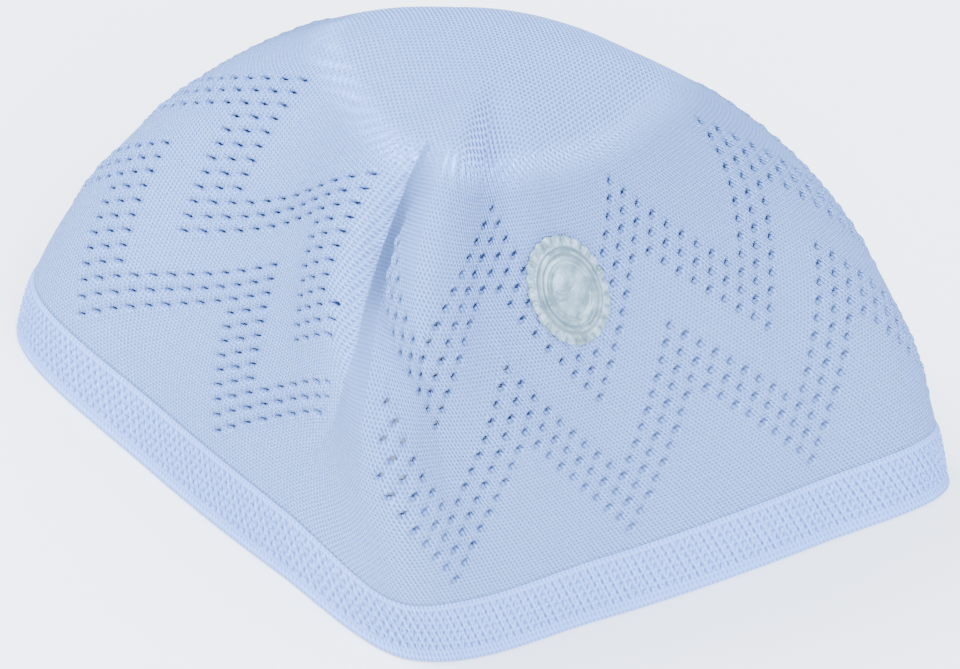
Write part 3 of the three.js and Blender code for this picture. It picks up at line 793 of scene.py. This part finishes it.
# %% Where the badge stands
def badge_place():
    """Middle of the badge on the skin, with its right, top and outward directions."""
    up_share = np.array((BADGE_ROW - BAND_ROWS) / (ROWS_TO_APEX - BAND_ROWS))
    share = share_of_step(np.array(BADGE_STEP), up_share)
    up = up_of_row(share, BADGE_ROW)
    middle = outer_skin(share, up)
    across = outer_skin(share + PROBE, up) - middle
    climb = outer_skin(share, up + PROBE) - middle
    out = unit(np.cross(across, climb))
    level_right = unit(across)
    level_top = np.cross(out, level_right)
    right = level_right * math.cos(BADGE_TILT) + level_top * math.sin(BADGE_TILT)
    return share, up, middle, across, climb, right, np.cross(out, right), out


def on_badge(a, b, height):
    """Points at a and b mm across and up the badge, height above the skin found below each."""
    share0, up0, middle, across, climb, right, top, out = badge_place()
    goal = middle + a[..., None] * right + b[..., None] * top
    share, up = share0 + 0 * a, up0 + 0 * a
    way = np.stack([across / PROBE, climb / PROBE], -1)
    solve = np.linalg.pinv(way)
    for _ in range(8):
        miss = goal - outer_skin(share, up)
        miss = miss - (miss @ out)[..., None] * out
        fix = miss @ solve.T
        share, up = share + fix[..., 0], up + fix[..., 1]
    skin = outer_skin(share, up)
    along = outer_skin(share + PROBE, up) - outer_skin(share - PROBE, up)
    rise = outer_skin(share, up + PROBE) - outer_skin(share, up - PROBE)
    return skin + unit(np.cross(along, rise)) * height[..., None]


print("badge stands at:", (badge_place()[2] + SHIFT).round(1), "mm")

# %% Face of the badge
LINE_AT, SECOND_AT, FLANGE_FROM, FLANGE_TO = 0.70, 0.52, 0.74, 0.80
DOME, BULGE, LINE_RISE, SECOND_RISE, RIB_RISE, EDGE_DROP = 1.05, 0.35, 0.8, 0.45, 0.3, 0.3


def badge_height(reach, angle):
    """Height of the face: a low dome, two raised oval lines as bells, and the flange with its ribs."""
    dome = DOME + BULGE * (1 - np.clip(reach / 0.6, 0, 1) ** 2)
    line = LINE_RISE * bell(reach - LINE_AT, 0.035)
    second = SECOND_RISE * bell(reach - SECOND_AT, 0.022)
    step = fade(reach, FLANGE_FROM, FLANGE_TO)
    ribs = RIB_RISE * np.cos(SCALLOPS * angle) * fade(reach, 0.80, 0.86) * (1 - fade(reach, 0.95, 1.0))
    face = dome * (1 - step) + FLANGE_THICKNESS * step + line + second + ribs
    return face - EDGE_DROP * fade(reach, 0.96, 1.0)


def badge_painted_groove_shade(reach, angle):
    """Painted shade on the plastic: beside the raised lines, and between the flange's ribs."""
    lines = bell(reach - 0.64, 0.025) + bell(reach - 0.77, 0.03) + 0.6 * bell(reach - 0.475, 0.02)
    ribs = fade(-np.cos(SCALLOPS * angle), 0.3, 1.0) * fade(reach, 0.82, 0.9)
    return np.clip(0.8 * lines + 0.75 * ribs, 0, 1)


print("badge is", round(float(badge_height(np.array(0.0), 0.0)), 2), "mm thick in the middle")


# %% Badge
def make_badge():
    """An oval grid over the face, and the same under it at the seat's height, closed in the middle."""
    spokes = SCALLOPS * 12
    reach = np.concatenate([np.linspace(0.06, 0.48, 8), np.linspace(0.5, 1.0, 40)])
    angle = 2 * np.pi * np.arange(spokes) / spokes
    reach, angle = np.meshgrid(reach, angle, indexing="ij")
    notch = SCALLOP_DEPTH * (0.5 - 0.5 * np.cos(SCALLOPS * angle)) * fade(reach, 0.88, 1.0)
    a = (reach * BADGE_WIDTH / 2 - notch) * np.cos(angle)
    b = (reach * BADGE_LENGTH / 2 - notch) * np.sin(angle)
    face = on_badge(a, b, UNDER_BADGE + badge_height(reach, angle))
    a, b = a[::-4][:10], b[::-4][:10]
    under = on_badge(a, b, np.full(a.shape, UNDER_BADGE))
    grid = np.concatenate([face, under])
    rows = len(grid)
    number = np.arange(rows * spokes).reshape(rows, spokes)
    beside = np.roll(number, -1, 1)
    quads = np.stack([number[:-1], number[1:], beside[1:], beside[:-1]], -1).reshape(-1, 4)
    middles = np.array([face[0].mean(0), under[-1].mean(0)])
    # Painted shade beside the raised lines and between the flange's ribs, none under the badge
    sunk_and_painted_shade = np.concatenate([badge_painted_groove_shade(reach, angle).ravel(), np.zeros(under.size // 3 + 2)])
    count = rows * spokes
    top, bottom = np.full(spokes, count), np.full(spokes, count + 1)
    caps = [np.stack([number[0], beside[0], top, top], -1),
            np.stack([beside[-1], number[-1], bottom, bottom], -1)]
    points = np.concatenate([grid.reshape(-1, 3), middles])
    faces = np.concatenate([quads] + caps)
    uv = np.zeros((len(faces), 4, 2))
    return make_piece("clear_oval_badge", points, faces, uv, CLEAR, "badge", sunk_and_painted_shade=sunk_and_painted_shade)


badge = make_badge()

# %% [markdown]
# ## Floor, light and camera
# A pale floor and large soft lights stand in for a bright room. Cool light gives white cotton its
# blue, and a slightly warm floor paint keeps the floor pale under it. One lamp alone would cast hard
# shadows in the eyelets. The camera looks down at about forty degrees, a little from the right of
# the front corner, through a long lens.

# %% Floor
FLOOR_REACH = 6.0


def make_floor():
    """A wide square plane that the rim stands on."""
    size = FLOOR_REACH
    corners = [(-size, -size, 0), (size, -size, 0), (size, size, 0), (-size, size, 0)]
    mesh = bpy.data.meshes.new("floor")
    mesh.from_pydata(corners, [], [(0, 1, 2, 3)])
    floor = bpy.data.objects.new("floor", mesh)
    bpy.context.scene.collection.objects.link(floor)
    material, _, shader = new_material("pale_painted_floor")
    # Eggshell paint on a board: pale, even and without gloss
    shader.inputs["Base Color"].default_value = colour("#fbf0e0")
    shader.inputs["Roughness"].default_value = 0.8
    mesh.materials.append(material)
    return floor


floor = make_floor()
print("floor reaches", FLOOR_REACH, "m each way")

# %% Lights
def add_light(name, place, aim, size, power, tint):
    """A square area light at a place in metres, turned to face its aim."""
    light = bpy.data.lights.new(name, "AREA")
    light.size, light.energy, light.color = size, power, colour(tint)[:3]
    lamp = bpy.data.objects.new(name, light)
    bpy.context.scene.collection.objects.link(lamp)
    lamp.location = place
    way = np.array(aim) - np.array(place)
    flat = math.hypot(way[0], way[1])
    lamp.rotation_euler = (math.pi / 2 + math.atan2(way[2], flat), 0, math.atan2(-way[0], way[1]))
    return lamp


DAYLIGHT, ROOM_STRENGTH, GLOW_POWER, CAP_MIDDLE = "#cfe1ff", 3.2, 0.09, (0, 0, 0.05)
add_light("window_left", (-1.3, 0.1, 1.3), CAP_MIDDLE, 1.2, 112, DAYLIGHT)
add_light("room_right", (1.2, -1.4, 1.6), CAP_MIDDLE, 2.0, 230, DAYLIGHT)
# Thin cotton lets light through, so a faint lamp stands in for the glow inside the cap
glow = bpy.data.lights.new("glow_inside", "POINT")
glow.energy, glow.shadow_soft_size, glow.color = GLOW_POWER, 0.02, colour(DAYLIGHT)[:3]
glow_lamp = bpy.data.objects.new("glow_inside", glow)
bpy.context.scene.collection.objects.link(glow_lamp)
glow_lamp.location = (0.0, 0.01, 0.045)
world = bpy.data.worlds.new("room")
bpy.context.scene.world = world
world.use_nodes = True
background = world.node_tree.nodes["Background"]
background.inputs["Color"].default_value = colour(DAYLIGHT)
background.inputs["Strength"].default_value = ROOM_STRENGTH

# %% Camera
CAMERA_TURN, CAMERA_RISE, CAMERA_DISTANCE = math.radians(17), math.radians(40), 1600.0
MM_PER_PIXEL, PICTURE_WIDTH, SENSOR = 0.245, 960, 36.0
LOOK_AT = np.array([0.0, -20.0, 40.0])
LOOK_RIGHT, LOOK_HIGH = 9.8, 7.4


def make_camera():
    """Stands off along the viewing angle and is framed by the picture's own scale."""
    a, e = CAMERA_TURN, CAMERA_RISE
    back = np.array([math.sin(a) * math.cos(e), -math.cos(a) * math.cos(e), math.sin(e)])
    right = np.array([math.cos(a), math.sin(a), 0.0])
    up = np.cross(back, right)
    aim = LOOK_AT + SHIFT + right * LOOK_RIGHT + up * LOOK_HIGH
    data = bpy.data.cameras.new("camera")
    data.sensor_width = SENSOR
    data.lens = SENSOR * CAMERA_DISTANCE / MM_PER_PIXEL / PICTURE_WIDTH
    camera = bpy.data.objects.new("camera", data)
    bpy.context.scene.collection.objects.link(camera)
    camera.location = (aim + back * CAMERA_DISTANCE) * MM
    camera.rotation_euler = (math.pi / 2 - e, 0, a)
    bpy.context.scene.camera = camera
    return camera


camera = make_camera()
print("camera at", [round(x, 3) for x in camera.location], "lens", round(camera.data.lens, 1))
